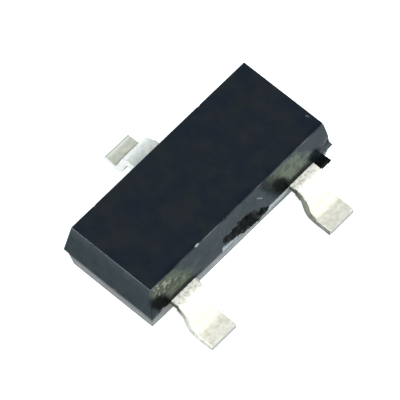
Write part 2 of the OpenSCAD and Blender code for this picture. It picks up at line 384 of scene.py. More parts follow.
def moulded_epoxy():
    """Black resin from a polished mould, with painted reflection of the card low on the walls, a painted
    highlight on the top's edge, and painted reflections, glints and shade by the front leads.
    """
    finish = Finish("moulded_epoxy", IOR=1.3)
    cloud = finish.grain(0.30, detail=2.0)
    on_wall = finish.ramp(finish.y, WALL + 0.080, WALL + 0.085, 1.0, 0.0)
    ragged = finish.times(finish.maths("SUBTRACT", finish.grain(0.06), 0.5), 1.6)
    walls, near_leads = painted_lead_reflections(finish, wall_colour(finish, cloud), on_wall, ragged)
    mottled = finish.ramp(finish.grain(0.075, detail=2.0), 0.44, 0.58, 0.26, 0.0)
    dull = finish.times(mottled, near_leads)
    walls, dull = paint_shade_spots(finish, walls, on_wall, ragged, dull)
    on_top = finish.ramp(finish.z, TOP - 0.015, TOP - 0.004)
    finish.use("Base Color", finish.layers(painted_reflection_below(finish, walls), [
        (on_top, finish.tones(cloud, 0.38, 0.62, *TOP_BLACKS)),
        (painted_edge_highlight(finish), PAINTED_EDGE_HIGHLIGHT),
    ]))
    patches = finish.grain(0.13, detail=2.0)
    roughness = finish.ramp(patches, 0.35, 0.65, *TOP_ROUGH)
    roughness = finish.maths("ADD", roughness, finish.ramp(on_top, 0.0, 1.0, WALL_ROUGHER, 0.0))
    low_down = finish.ramp(finish.z, 0.20, PARTING - 0.06, LOWER_ROUGHER, 0.0)
    finish.use("Roughness", finish.maths("ADD", roughness, low_down))
    finish.use("Specular IOR Level", skin_gloss(finish, patches, on_top, dull))
    orange_peel = finish.bump(finish.grain(0.10, detail=1.0), 0.0014)
    fine = finish.grain(0.020, roughness=0.6)
    finish.use("Normal", finish.bump(fine, 0.0006, after=orange_peel))
    return finish.material


EPOXY = moulded_epoxy()
print("moulded skin:", len(EPOXY.node_tree.nodes), "nodes")

# %% [markdown]
# ## Broken resin and thin film
# Where resin breaks, the polished skin is gone. Small shell-shaped chips are pale, the
# torn gate and the block by the dam bar are dull and crumbly, and resin squeezed out to a
# film a few thousandths of a millimetre thick turns pale; the films' pale colour also
# stands for painted reflection of the white card. These could be patches painted into
# the skin's material, but a finish of its own follows each cut and joint exactly.

# %% Three finishes for broken and thin resin
def grained(name, size_mm, detail, tones, roughness, bump_mm=0.0, **values):
    """A finish whose colour, roughness and bumps all follow one grain."""
    finish = Finish(name, **values)
    grain = finish.grain(size_mm, detail=detail)
    finish.use("Base Color", finish.tones(grain, *tones))
    return finish.surface(grain, roughness, bump_mm)


def chipped_epoxy():
    """Shell-shaped breaks, pale on the left and darker towards the right."""
    finish = Finish("chipped_epoxy", IOR=1.5)
    shell = finish.grain(0.02)
    fresh = finish.tones(shell, 0.35, 0.65, (0.10, 0.12, 0.13), (0.26, 0.29, 0.30))
    older = finish.ramp(finish.x, -0.5, 0.3, 0.0, 0.75)
    finish.use("Base Color", finish.blend(older, fresh, (0.040, 0.042, 0.038)))
    return finish.surface(shell, (0.28, 0.42), 0.001)


def broken_epoxy():
    """Torn resin: dull, dark and crumbly, with paler flecks on the gate's scar."""
    finish = Finish("broken_epoxy", IOR=1.4, Specular_IOR_Level=0.05)
    crumbs = finish.grain(0.03, detail=4.0, roughness=0.65)
    dark = finish.tones(crumbs, 0.35, 0.70, (0.0012, 0.0015, 0.0013), (0.0075, 0.0085, 0.0078))
    flecks = finish.grain(0.060, stretch=(1.0, 1.0, 0.5))
    flecks = finish.ramp(flecks, 0.50, 0.72, 0.0, 0.8)
    on_scar = finish.ramp(finish.x, 0.55, 0.60, 1.0, 0.0)
    speckled = finish.blend(finish.times(on_scar, flecks), dark, (0.056, 0.064, 0.059))
    finish.use("Base Color", speckled)
    return finish.surface(crumbs, (0.55, 0.85), 0.004)


CHIPPED = chipped_epoxy()
BROKEN = broken_epoxy()
# Pale tones of the thin films on the front wall: thin resin, and painted reflection of the white card
FILM_AND_REFLECTION_TONES = (0.35, 0.65, (0.17, 0.20, 0.20), (0.36, 0.40, 0.40))
PALE_FILM_AND_REFLECTION = grained("thin_film_and_reflection", 0.05, 3.0, FILM_AND_REFLECTION_TONES, (0.35, 0.55), 0.001, IOR=1.5)
print("three finishes for resin without its skin")

# %% [markdown]
# ## Tin and sheared metal
# The leads are punched from a strip of alloy and plated with matt tin. The tin is pale
# and soft: it is stained beside the case, streaked along the feet and wrinkled on the
# rear lead, with painted shade in the rear foot's crease and along its tip. The sides of
# the strip show the sheared alloy, darkened with painted shade by the case and on the
# right lead, and the cut tips are grey. Both are made of coats that are laid over one
# another, each where its place along the lead says, since a lead changes along its length
# and hardly across it.

# %% Tin plate
REAR = (0.3, 0.5)


def tin_plate():
    """Matt tin in coats: wrinkled, warm on the slopes, stained and streaked, with a painted glint near the
    rear foot's tip and painted shade in its crease and along its tip edge.
    """
    finish = Finish("tin_plate")
    clean = finish.tones(finish.grain(0.06), 0.36, 0.60, (0.91, 0.89, 0.79), (0.97, 0.95, 0.87))
    wrinkles = finish.ramp(finish.grain(0.050), 0.42, 0.62, 0.10, 0.65)
    blotches = finish.ramp(finish.grain(0.036), 0.47, 0.62, 0.0, 0.70)
    streaks = finish.ramp(finish.grain(0.040, stretch=(0.6, 1.0, 1.0)), 0.34, 0.68, 0.12, 0.62)
    on_slope = finish.band(finish.y, (-1.02, -0.99), (-0.82, -0.78), 0.85)
    by_case = finish.band(finish.y, (-0.89, -0.74), REAR)
    on_foot = finish.ramp(finish.maths("ABSOLUTE", finish.y), 1.005, 1.040)
    rear_foot = finish.ramp(finish.y, 1.05, 1.07, 0.0, 0.36)
    rear_glint = finish.band(finish.y, (1.180, 1.195), (1.212, 1.216), 0.8)
    # The next two are painted shade: along the rear foot's tip edge, and in the crease where the rear foot
    # starts
    rear_tip_shade = finish.ramp(finish.y, 1.214, 1.220, 0.0, 0.7)
    rear_crease_shade = finish.band(finish.y, (1.05, 1.065), (1.074, 1.090), 0.5)
    finish.use("Base Color", finish.layers(clean, [
        (finish.times(finish.ramp(finish.y, *REAR), wrinkles), (0.65, 0.70, 0.69)),
        (on_slope, (0.90, 0.82, 0.70)),
        (finish.times(by_case, blotches), (0.47, 0.46, 0.34)),
        (finish.times(on_foot, streaks), (0.50, 0.47, 0.34)),
        (rear_foot, (0.47, 0.49, 0.37)),
        (rear_glint, (0.86, 0.85, 0.78)),
        (rear_tip_shade, (0.42, 0.40, 0.35)),
        (rear_crease_shade, (0.24, 0.23, 0.19)),
    ]))
    finish.use("Metallic", finish.ramp(finish.y, -0.84, -0.79, 0.45, 0.26))
    fine = finish.grain(0.016, detail=4.0)
    finish.use("Roughness", finish.ramp(fine, 0.3, 0.7, 0.44, 0.58))
    dents = finish.bump(finish.grain(0.045, detail=2.0), 0.0020)
    finish.use("Normal", finish.bump(fine, 0.0007, after=dents))
    return finish.material


TIN = tin_plate()
print("tin plate:", len(TIN.node_tree.nodes), "nodes")

# %% Sheared sides of the strip
def sheared_edge():
    """Alloy darkened with painted shade by the case and on the right lead, worn tin further out, smeared tin
    at the rear, grey at the tips.
    """
    finish = Finish("sheared_edge", Metallic=0.05, Specular_IOR_Level=0.15)
    streaks = finish.grain(0.03, stretch=(1.0, 1.0, 0.3))
    alloy_in_shade = finish.tones(streaks, 0.35, 0.65, (0.070, 0.075, 0.040), (0.23, 0.23, 0.15))
    worn = finish.tones(streaks, 0.35, 0.65, (0.46, 0.44, 0.37), (0.76, 0.73, 0.65))
    smeared = finish.tones(streaks, 0.40, 0.65, (0.95, 0.92, 0.85), (1.00, 0.98, 0.92))
    rise = finish.ramp(finish.z, 0.0, 0.1)
    cut_off = finish.tones(rise, 0.35, 0.55, (0.34, 0.32, 0.29), (0.56, 0.53, 0.48))
    by_case = finish.ramp(finish.maths("ABSOLUTE", finish.y), 0.74, 0.86, 1.0, 0.0)
    shade_on_right_lead = finish.ramp(finish.x, 0.3, 0.5, 0.0, 0.72)
    at_tip = finish.ramp(finish.y, 0.001 - FOOT_TIP, 0.003 - FOOT_TIP, 1.0, 0.0)
    # The alloy coat and the darker coat after it are painted shade: by the case, and over the right lead's
    # sides
    finish.use("Base Color", finish.layers(worn, [
        (finish.maths("MAXIMUM", by_case, shade_on_right_lead), alloy_in_shade),
        (finish.times(by_case, 0.6), (0.055, 0.060, 0.035)),
        (at_tip, cut_off),
        (finish.ramp(finish.y, *REAR), smeared),
    ]))
    return finish.surface(streaks, (0.40, 0.60), 0.002)


SHEARED = sheared_edge()
print("two finishes for the leads")

# %% [markdown]
# ## Finishes of the inner pieces
# The wires are drawn gold, the chip is polished silicon, and silver flakes in the
# adhesive make it conduct. All three are hidden in the finished part, so each has one
# grain and no more.

# %% Gold, silicon and silver adhesive
GOLD_TONES = (0.3, 0.7, (0.83, 0.58, 0.22), (0.95, 0.72, 0.34))
CHIP_TONES = (0.3, 0.7, (0.10, 0.11, 0.15), (0.16, 0.17, 0.22))
FLAKE_TONES = (0.3, 0.7, (0.30, 0.30, 0.30), (0.62, 0.62, 0.60))
GOLD = grained("gold_wire", 0.01, 2.0, GOLD_TONES, (0.18, 0.30), Metallic=1.0)
SILICON = grained("silicon", 0.08, 2.0, CHIP_TONES, (0.12, 0.25), Metallic=0.4, IOR=3.4)
ADHESIVE = grained("silver_adhesive", 0.008, 3.0, FLAKE_TONES, (0.5, 0.7), 0.002, Metallic=0.6)
print("three finishes for what is inside")

# %% [markdown]
# ## One way to make a skin
# The case, the leads and the wires are all long shapes whose outline changes a little
# at a time, so one helper makes them all: it takes a row of rings, each with the same
# number of points, and skins them into a closed mesh. A curve with a bevel could do it
# too, but rings worked out by a rule can also be dented, nicked and widened.

# %% A skin over a row of rings
def shade(mesh, smooth_angle):
    """Smooth shading that keeps every edge sharper than the angle crisp."""
    mesh.polygons.foreach_set("use_smooth", [True] * len(mesh.polygons))
    mesh.set_sharp_from_angle(angle=math.radians(smooth_angle))


def finish_mesh(name, verts, faces, finishes, face_finish=None, smooth_angle=35):
    """A closed mesh in millimetres, with a finish for each face."""
    mesh = bpy.data.meshes.new(name)
    mesh.from_pydata(np.asarray(verts, float).tolist(), [], faces)
    for material in finishes:
        mesh.materials.append(material)
    if face_finish:
        mesh.polygons.foreach_set("material_index", face_finish)
    tidy = bmesh.new()
    tidy.from_mesh(mesh)
    bmesh.ops.remove_doubles(tidy, verts=tidy.verts, dist=1e-5)
    bmesh.ops.recalc_face_normals(tidy, faces=tidy.faces)
    tidy.to_mesh(mesh)
    tidy.free()
    shade(mesh, smooth_angle)
    piece = bpy.data.objects.new(name, mesh)
    bpy.context.scene.collection.objects.link(piece)
    return piece


def skin(name, rings, finishes, column_finish=None, smooth_angle=35):
    """One closed mesh over rings of points, with a flat cap at each end."""
    rings = np.asarray(rings, float)
    count, around = rings.shape[:2]
    start = (np.arange(count - 1) * around)[:, None]
    here = np.arange(around)[None, :]
    there = (here + 1) % around
    quads = np.stack([start + here, start + there, start + around + there, start + around + here], axis=-1)
    faces = quads.reshape(-1, 4).tolist()
    faces.append(list(range(around))[::-1])
    faces.append(list(range((count - 1) * around, count * around)))
    face_finish = None
    if column_finish:
        face_finish = list(column_finish) * (count - 1) + [max(column_finish)] * 2
    return finish_mesh(name, rings.reshape(-1, 3), faces, finishes, face_finish, smooth_angle)


def rough(x, y, z, size, seed=0.0):
    """Smooth noise from -1 to 1 at a point in millimetres, with lumps of about that size."""
    return noise.noise(Vector((x / size + seed, y / size - seed, z / size + 2.7 * seed)))


print("the skin helper is ready")

# %% Joining and cutting closed meshes
def join_solids(target, others, operation):
    """Join closed meshes to one, or cut them out of it, and keep only the result."""
    for other in others:
        step = target.modifiers.new(operation.lower(), "BOOLEAN")
        step.operation = operation
        step.solver = "EXACT"
        step.material_mode = "TRANSFER"
        step.object = other
    depsgraph = bpy.context.evaluated_depsgraph_get()
    result = bpy.data.meshes.new_from_object(target.evaluated_get(depsgraph))
    target.modifiers.clear()
    target.data = result
    if operation == "UNION":
        for other in others:
            bpy.data.objects.remove(other)


print("solids can be joined and cut")

# %% [markdown]
# ## The moulded case
# The case comes out of a mould in two halves. Both halves lean inwards, so that they
# let go of the mould, and the lower one is set back a little where they meet. Each ring
# of the skin is the outline at one height: a rectangle whose corners are all but sharp.
# The edge round the top has a tiny radius, which is what draws the thin bright line
# along it in the photograph. A few nicks are pressed into the edges, and the edges waver
# by a thousandth of a millimetre or two, as those of moulded resin do. A box with a bevel
# would be quicker, but its edges would be too straight for a picture taken this close.

# %% The outline of the case at one height
CORNER = 0.007
EDGE = 0.012
SET_BACK = 0.02
STATION = 0.0125
CORNER_STEPS = 6
EDGE_ROWS = 6
UPPER_ROWS = 34
LOWER_ROWS = 20
CAP_MARGIN = 0.030


def outline_template():
    """Where each point of an outline sits: its share of the half sizes, and its normal."""
    rows = []
    corners = [(1, -1, -90), (1, 1, 0), (-1, 1, 90), (-1, -1, 180)]
    for index, (sx, sy, first) in enumerate(corners):
        for k in range(CORNER_STEPS + 1):
            turn = math.radians(first + 90 * k / CORNER_STEPS)
            rows.append((sx, sy, math.cos(turn), math.sin(turn)))
        nx, ny = corners[(index + 1) % 4][:2]
        length = HALF_LEN if nx != sx else HALF_WID
        steps = int(2 * length / STATION)
        normal = rows[-1][2:]
        for k in range(1, steps):
            t = k / steps
            rows.append((sx + (nx - sx) * t, sy + (ny - sy) * t, *normal))
    return np.array(rows)


TEMPLATE = outline_template()


def outline(inset, height):
    """The case's outline at one height, set back from the parting plane's outline."""
    wx, wy, nx, ny = TEMPLATE.T
    x = wx * (HALF_LEN - inset - CORNER) + CORNER * nx
    y = wy * (HALF_WID - inset - CORNER) + CORNER * ny
    return np.stack([x, y, np.full_like(x, height)], axis=-1)


def wall_levels(height, lean, foot_inset, rows):
    """Set-back and rise of each ring of one mould half, from the parting plane outwards."""
    rim = height - EDGE
    last = rim + EDGE * math.sin(lean)
    levels = [(foot_inset + last * math.tan(lean) * k / rows, last * k / rows) for k in range(rows + 1)]
    top_inset = foot_inset + last * math.tan(lean)
    for k in range(1, EDGE_ROWS + 1):
        turn = lean + (math.pi / 2 - lean) * k / EDGE_ROWS
        inset = top_inset + EDGE * (math.cos(lean) - math.cos(turn))
        levels.append((inset, rim + EDGE * math.sin(turn)))
    return levels


def case_rings():
    """All rings of the case, from inside the underside to inside the top face."""
    upper = wall_levels(TOP - PARTING, UPPER_LEAN, 0.0, UPPER_ROWS)
    lower = wall_levels(PARTING - UNDER, LOWER_LEAN, SET_BACK, LOWER_ROWS)
    rings = [outline(lower[-1][0] + CAP_MARGIN, UNDER)]
    rings += [outline(inset, PARTING - drop) for inset, drop in reversed(lower)]
    rings += [outline(inset, PARTING + rise) for inset, rise in upper]
    rings.append(outline(upper[-1][0] + CAP_MARGIN, TOP))
    return rings


print(f"{len(TEMPLATE)} points in each of {len(case_rings())} rings")

# %% Nicks and wavering edges
WAVER_TOP = 0.0007
WAVER_LOW = 0.0016
WAVER_REACH = 0.015
# Each nick: x, y, z of its middle, its radius and its depth
NICKS = [
    (-0.205, -0.575, TOP, 0.018, 0.008),
    (-1.370, 0.260, TOP, 0.016, 0.007),
    (-1.020, 0.575, TOP, 0.018, 0.008),
    (0.640, 0.575, TOP, 0.020, 0.009),
    (1.425, -0.625, PARTING + 0.10, 0.100, 0.020),
    (-1.270, -0.650, PARTING, 0.040, 0.012),
    (-1.430, -0.100, PARTING, 0.030, 0.009),
    (1.450, 0.240, PARTING, 0.034, 0.012),
    (-0.600, 0.650, PARTING, 0.040, 0.012),
]


def wear(rings):
    """Waver the sharp edges a little and press the nicks in."""
    worn = [rings[0]]
    for ring in rings[1:-1]:
        out = ring.copy()
        height = ring[0][2]
        near_edge = min(abs(height - TOP), abs(height - PARTING), abs(height - UNDER))
        waver = WAVER_TOP if height > PARTING + 0.2 else WAVER_LOW
        waver *= math.exp(-near_edge / WAVER_REACH)
        for i, point in enumerate(ring):
            nx, ny = TEMPLATE[i][2:]
            lump = rough(*point, 0.045) + 0.6 * rough(*point, 0.018, 3.0)
            out[i][0] -= nx * waver * abs(lump)
            out[i][1] -= ny * waver * abs(lump)
        for x, y, z, radius, depth in NICKS:
            if abs(height - z) > 2 * radius:
                continue
            middle = np.array([x, y, z])
            away = np.linalg.norm(ring - middle, axis=1)
            nearest = TEMPLATE[int(away.argmin())]
            inward = np.array([-nearest[2], -nearest[3], -0.7 if z == TOP else 0.0])
            for i in np.flatnonzero(away < 1.7 * radius):
                ragged = 1 + 0.5 * rough(*ring[i], 0.012, 7.0)
                out[i] += inward * depth * ragged * math.exp(-2 * (away[i] / radius) ** 2)
        worn.append(out)
    return worn + [rings[-1]]


case = skin("case", wear(case_rings()), [EPOXY], smooth_angle=28)
print(f"case skin: {len(case.data.polygons)} faces, {len(NICKS)} nicks")

# %% [markdown]
# ## What the mould left behind
# Resin is pushed in through a gate in the middle of the front, and breaks off there,
# leaving a dark, crumbly scar on the wall. Beside the right lead it filled the pocket up
# to the dam bar, and that black block is still there, with a curl where the bar was cut
# off. Thin films squeezed out along the parting plane, at a corner and down the front
# wall; the pale colour of the two on the front wall is painted reflection of the white
# card. A flat texture can't make these, since they break the outline of the case, so each
# one is real geometry that is then joined to the case.

# %% A plate with a ragged outline
PLATE_STEP = 0.008
PLATE_LAYERS = 4
PINCH = 0.05
THIN_SHARE = 0.85
THIN_RUN = 0.020


def walk(points, spacing):
    """Points at an even spacing along a closed outline."""
    points = [np.array(p, float) for p in points]
    path = []
    for a, b in zip(points, points[1:] + points[:1]):
        steps = max(1, int(np.linalg.norm(b - a) / spacing))
        path += [a + (b - a) * k / steps for k in range(steps)]
    return np.array(path)


def plate(name, points, low, high, finish, ragged, thin_from=None):
    """A flat plate with the outline given, ragged, and thinned to a point beyond a line in y."""
    base = walk(points, PLATE_STEP)
    middle = base.mean(axis=0)
    rings = []
    for k in range(PLATE_LAYERS + 1):
        t = k / PLATE_LAYERS
        height = low + (high - low) * t
        pinch = 1 - PINCH * (2 * t - 1) ** 2
        ring = []
        for x, y in base:
            nudge = [ragged * rough(x, y, height, 0.02, seed) for seed in (1.0, 6.0)]
            px = middle[0] + (x - middle[0]) * pinch + nudge[0]
            py = middle[1] + (y - middle[1]) * pinch + nudge[1]
            lift = 0.0
            if thin_from is not None and py < thin_from:
                lift = THIN_SHARE * (high - height) * min(1.0, (thin_from - py) / THIN_RUN)
            wavy = 0.3 * ragged * rough(x, y, height, 0.03, 10.0)
            ring.append((min(px, HALF_LEN), py, height + lift + wavy))
        rings.append(ring)
    return skin(name, rings, [finish], smooth_angle=40)


print("plates can be cut to any outline")

# %% Block beside the right lead, and the film at the corner
ROOT = 0.08
FILM = 0.014
BLOCK_IN = PITCH + LEAD_WID / 2
BLOCK_LEN = 0.155
BLOCK_OUT = 0.094
CURL = 0.045
dam_block = plate(
    "dam_block",
    [
        (BLOCK_IN, WALL + ROOT),
        (BLOCK_IN, WALL - BLOCK_OUT),
        (BLOCK_IN + 0.80 * BLOCK_LEN, WALL - BLOCK_OUT),
        (BLOCK_IN + BLOCK_LEN, WALL - BLOCK_OUT - 0.6 * CURL),
        (BLOCK_IN + 0.96 * BLOCK_LEN, WALL - 0.55 * BLOCK_OUT),
        (BLOCK_IN + BLOCK_LEN, WALL + ROOT),
    ],
    STRIP_LOW,
    STRIP_TOP,
    BROKEN,
    ragged=0.005,
    thin_from=WALL - BLOCK_OUT - 0.002,
)
corner_film = plate(
    "corner_film",
    [
        (HALF_LEN, WALL),
        (HALF_LEN - 0.013, WALL + 0.05),
        (HALF_LEN - 0.013, WALL + 0.10),
        (HALF_LEN - 0.10, WALL + 0.10),
        (HALF_LEN - 0.10, WALL + 0.013),
        (HALF_LEN - 0.05, WALL + 0.013),
    ],
    PARTING - FILM / 2,
    PARTING + FILM / 2,
    EPOXY,
    ragged=0.002,
)
print("dam block and corner film are made")

# %% Two pale films on the front wall, pale as painted reflection of the card
FILM_END = PITCH - LEAD_WID / 2
FILM_THICK = 0.003
FILM_UNEVEN = 0.001


def skirt(name, stations, spread):
    """Thin resin on the front wall, pale as painted reflection of the card: at each x it reaches up and down
    from the parting plane.
    """
    rings = []
    for x, up, down in stations:
        thick = FILM_THICK + FILM_UNEVEN * rough(x, 0.0, 0.0, 0.03, 5.0)
        high, low = PARTING + up, PARTING - down
        face = WALL + up * math.tan(UPPER_LEAN) - thick
        heel = WALL + SET_BACK + down * math.tan(LOWER_LEAN) - 0.002
        rings.append([
            (x, WALL + ROOT, low), (x, WALL + ROOT, high), (x, face, high),
            (x, WALL - thick, PARTING), (x, min(heel, WALL + 0.01 + spread * down), low),
        ])
    return skin(name, rings, [PALE_FILM_AND_REFLECTION], smooth_angle=30)


flake_painted_reflection = skirt("flake_painted_reflection", [
    (-0.332, 0.004, 0.006), (-0.322, 0.058, 0.020), (-0.300, 0.063, 0.026), (-0.250, 0.048, 0.028),
    (-0.200, 0.043, 0.026), (-0.150, 0.026, 0.024), (-0.100, 0.020, 0.020), (-0.040, 0.008, 0.014),
    (0.000, 0.003, 0.006),
], 0.1)
front_film = skirt("front_film", [
    (0.300, 0.003, 0.030), (0.330, 0.007, 0.120), (0.400, 0.004, 0.170), (0.440, 0.009, 0.150),
    (0.500, 0.004, 0.200), (0.580, 0.007, 0.190), (0.650, 0.004, 0.230), (0.720, 0.006, 0.220),
    (FILM_END, 0.003, 0.200),
], 0.3)
print("films:", [len(film.data.polygons) for film in (flake_painted_reflection, front_film)], "faces")

# %% The broken gate
GATE_HALF = 0.36
GATE_RISE = 0.21
GATE_OUT = 0.035
GATE_SHIFT = 0.06
GATE_CELL = 0.006
GATE_SUNK = 0.03
GATE_JAG = 0.14
GATE_RIM = 0.16
# Upper and lower outline of the scar: share of the half length, share of the rise
GATE_UPPER = [
    (-1, 0.66), (-0.94, 0.90), (-0.65, 0.89), (-0.27, 0.98), (0, 1.0), (0.23, 0.97),
    (0.43, 0.72), (0.54, 0.28), (0.73, 0.32), (0.92, 0.22), (1, 0.04),
]
GATE_LOWER = [
    (-1, 0.58), (-0.92, 0.46), (-0.64, 0.26), (-0.36, 0.03), (-0.08, -0.06), (0.43, -0.16),
    (0.86, -0.06), (1, 0),
]


def gate_front(x, z):
    """Where the gate's broken face lies: how far it stands out of the parting plane's outline."""
    lean = (z - PARTING) * math.tan(UPPER_LEAN)
    u = (x - GATE_SHIFT) / GATE_HALF
    if abs(u) > 1:
        return -GATE_SUNK - lean
    jag = GATE_JAG * rough(x, 0.0, z, 0.05, 11.0) + GATE_JAG * rough(x, 0.0, z, 0.018, 12.0)
    v = (z - PARTING) / GATE_RISE + jag
    upper = np.interp(u, *zip(*GATE_UPPER))
    lower = np.interp(u, *zip(*GATE_LOWER))
    inside = min(upper - v, v - lower, 0.5 * (1 - abs(u)))
    if inside < 0:
        return max(-GATE_SUNK, 0.2 * inside) - lean
    plateau = min(1.0, inside / GATE_RIM) ** 0.7
    thick = GATE_OUT * (0.62 + 0.38 * min(1.0, max(-1.0, 1.6 * u)))
    thick *= 1 - 0.45 * max(0.0, v)
    lumps = 0.30 * rough(x, 0.0, z, 0.060, 2.0) + 0.16 * rough(x, 0.0, z, 0.022, 4.0)
    return thick * plateau * (1 + lumps) - lean


def gate_lump():
    """The gate's scar as a closed lump: a broken front over a plain back inside the case."""
    xs = np.arange(GATE_SHIFT - GATE_HALF - 0.04, GATE_SHIFT + GATE_HALF + 0.04, GATE_CELL)
    zs = np.arange(PARTING - 0.06, PARTING + GATE_RISE + 0.05, GATE_CELL)
    rings = []
    for x in xs:
        front = [(x, WALL - gate_front(x, z), z) for z in zs]
        back = [(x, WALL + ROOT, z) for z in zs[::-1]]
        rings.append(front + back)
    return skin("gate_scar", rings, [BROKEN], smooth_angle=50)


gate_scar = gate_lump()
print(f"gate scar: {len(gate_scar.data.polygons)} faces")

# %% [markdown]
# ## Shell-shaped chips
# Brittle resin breaks away in small shells where something knocked an edge, and a hard
# point left a scratch above the gate. The nicks above only press the skin in. These are
# cut instead: each is a lumpy ball sunk a little into the case, so the cut has a sharp
# rim and its inside takes the finish of broken resin.

# %% Balls that bite the chips out
TOP_IN = (TOP - PARTING) * math.tan(UPPER_LEAN)
# Each bite: a point on the surface, the way out of it, the ball's radii, its depth and its turn
BITES = [
    ((-0.640, TOP_IN - HALF_WID, TOP), (0, -0.50, 0.86), (0.060, 0.040, 0.050), 0.013, 0),
    ((1.328, -0.390, TOP), (0, 0, 1), (0.042, 0.018, 0.014), 0.003, -68),
    ((HALF_LEN - TOP_IN, TOP_IN - HALF_WID, TOP), (0.60, -0.60, 0.50), (0.070, 0.070, 0.060), 0.016, 0),
    ((0.315, 0.040 - HALF_WID, 0.68), (0, -0.99, 0.15), (0.085, 0.016, 0.016), 0.005, -50),
]


def bite_balls():
    """All bites as one mesh of separate lumpy balls, sunk into the case by their depth."""
    lumps = bmesh.new()
    for seed, (point, out, radii, depth, turn) in enumerate(BITES):
        ball = bmesh.ops.create_icosphere(lumps, subdivisions=3, radius=1.0)["verts"]
        normal = Vector(out).normalized()
        frame_turn = normal.to_track_quat("Z", "Y").to_matrix() @ Matrix.Rotation(math.radians(turn), 3, "Z")
        centre = Vector(point) + normal * (radii[2] - depth)
        for vert in ball:
            swell = 1 + 0.20 * rough(*vert.co, 0.8, float(seed))
            vert.co = centre + frame_turn @ Vector([c * r * swell for c, r in zip(vert.co, radii)])
    mesh = bpy.data.meshes.new("bites")
    lumps.to_mesh(mesh)
    lumps.free()
    mesh.materials.append(CHIPPED)
    balls = bpy.data.objects.new("bites", mesh)
    bpy.context.scene.collection.objects.link(balls)
    return balls


bites = bite_balls()
print(len(BITES), "bites are ready to be cut")

# %% [markdown]
# ## The leads
# Each lead is stamped out of one strip of alloy, bent like a gull's wing and plated
# with tin. Inside the case the strip widens into a post for the bond wire, or into the
# paddle that carries the chip. A lead is one skin: rings cross the strip at steps along
# its route, and their width follows the strip's plan. The punch rounds the upper edges
# a little, and the soft tin takes dents. Where the dam bar was cut away, a small stub
# stands out of each side. A flat plate could be bent by a modifier, but it would stretch
# in the bends, while rings keep the strip's thickness all the way.

# %% The route of a strip
LEDGE = 0.06
REAR_LEDGE = 0.155
SLOPE = math.radians(72)
LAST_TILT = math.radians(9)
# Each bend: the tilt it starts from, the tilt it ends at, and its radius
BENDS = [
    (0.0, SLOPE, 0.10 + STRIP / 2),
    (SLOPE, LAST_TILT, 0.05 + STRIP / 2),
    (LAST_TILT, 0.0, 0.50),
]
BEND_DROP = sum(radius * abs(math.cos(start) - math.cos(end)) for start, end, radius in BENDS)
BEND_REACH = sum(radius * abs(math.sin(start) - math.sin(end)) for start, end, radius in BENDS)
SLOPE_RUN = (STRIP_LOW - BEND_DROP) / math.sin(SLOPE)
BENT = BEND_REACH + SLOPE_RUN * math.cos(SLOPE)
PACE = 0.012


def strip_route(root, ledge):
    """Stations along the strip's middle: reach from the case's middle, height and tilt."""
    reach, height, tilt = HALF_WID - root, STRIP_MID, 0.0
    stations = [(reach, height, tilt)]
    foot = FOOT_TIP - HALF_WID - ledge - BENT
    # A leg is a bend from the list above, or the length of a straight run
    legs = [root + ledge, BENDS[0], SLOPE_RUN, BENDS[1], BENDS[2], foot]
    for leg in legs:
        bent = isinstance(leg, tuple)
        length = abs(leg[1] - leg[0]) * leg[2] if bent else leg
        steps = max(2, round(length / PACE))
        for _ in range(steps):
            ahead = tilt + (leg[1] - leg[0]) / steps if bent else tilt
            middle = (tilt + ahead) / 2
            reach += length / steps * math.cos(middle)
            height -= length / steps * math.sin(middle)
            tilt = ahead
            stations.append((reach, height, tilt))
    return stations


def corner_cut(distance, radius):
    """How far a round corner draws the edge in, at a distance from the plate's end."""
    if distance >= radius:
        return 0.0
    return radius - math.sqrt(max(0.0, radius**2 - (radius - distance) ** 2))


print(f"strip route: {len(strip_route(0.4, LEDGE))} stations, slope {SLOPE_RUN:.3f} mm long")

# %% The section of the strip
ROLL = 0.014
BURR = 0.006
ACROSS = 30


def strip_section(left, right, slant=(0.0, 0.0)):
    """Points round the strip's section: across, height above its middle, and which face."""
    half = STRIP / 2

    def rolled(centre, turns):
        angles = [math.radians(turn) for turn in turns]
        return [(centre + ROLL * math.cos(a), half - ROLL + ROLL * math.sin(a), "top") for a in angles]

    rise = np.linspace(BURR - half, half - ROLL, 6)
    lean = (rise - rise[0]) / (rise[-1] - rise[0])
    top_left, top_right = left + slant[0], right - slant[1]
    points = []
    for k in range(ACROSS + 1):
        points.append((top_left + ROLL + (top_right - top_left - 2 * ROLL) * k / ACROSS, half, "top"))
    points += rolled(top_right - ROLL, (60, 30))
    points += [(right - slant[1] * t, z, "side") for z, t in zip(rise[::-1], lean[::-1])]
    for k in range(ACROSS + 1):
        points.append((right - BURR - (right - left - 2 * BURR) * k / ACROSS, -half, "under"))
    points += [(left + slant[0] * t, z, "side") for z, t in zip(rise, lean)]
    return points + rolled(top_left + ROLL, (150, 120))


print(f"strip section: {len(strip_section(-1, 1))} points")

# %% The plan of the strip and its dents
DAM_NEAR = HALF_WID + BLOCK_OUT
DAM_WID = 0.09
STUB = 0.012
FRAME_R = 0.04
FINE_DENT = 0.0010
LEDGE_DENT = 0.0035


def half_plan(reach, plan):
    """Left and right edge of the strip at a distance from the case's middle."""
    left, right = -LEAD_WID / 2, LEAD_WID / 2
    plate_left, plate_right, inner, outer = plan
    if reach <= outer:
        cut = corner_cut(min(reach - inner, outer - reach), FRAME_R)
        left = min(plate_left + cut, left) if plate_left < left else left
        right = max(plate_right - cut, right) if plate_right > right else right
    if DAM_NEAR < reach < DAM_NEAR + DAM_WID:
        left -= STUB
        right += STUB
    return left, right


def dent(x, y, z, reach, seed):
    """Dents in the soft tin: fine everywhere, coarser on the ledge by the case."""
    fine = FINE_DENT * rough(x, y, z, 0.03, seed)
    ledge = math.exp(-(((reach - HALF_WID - 0.04) / 0.06) ** 2))
    return fine + LEDGE_DENT * ledge * rough(x, y, z, 0.04, seed + 4.0)


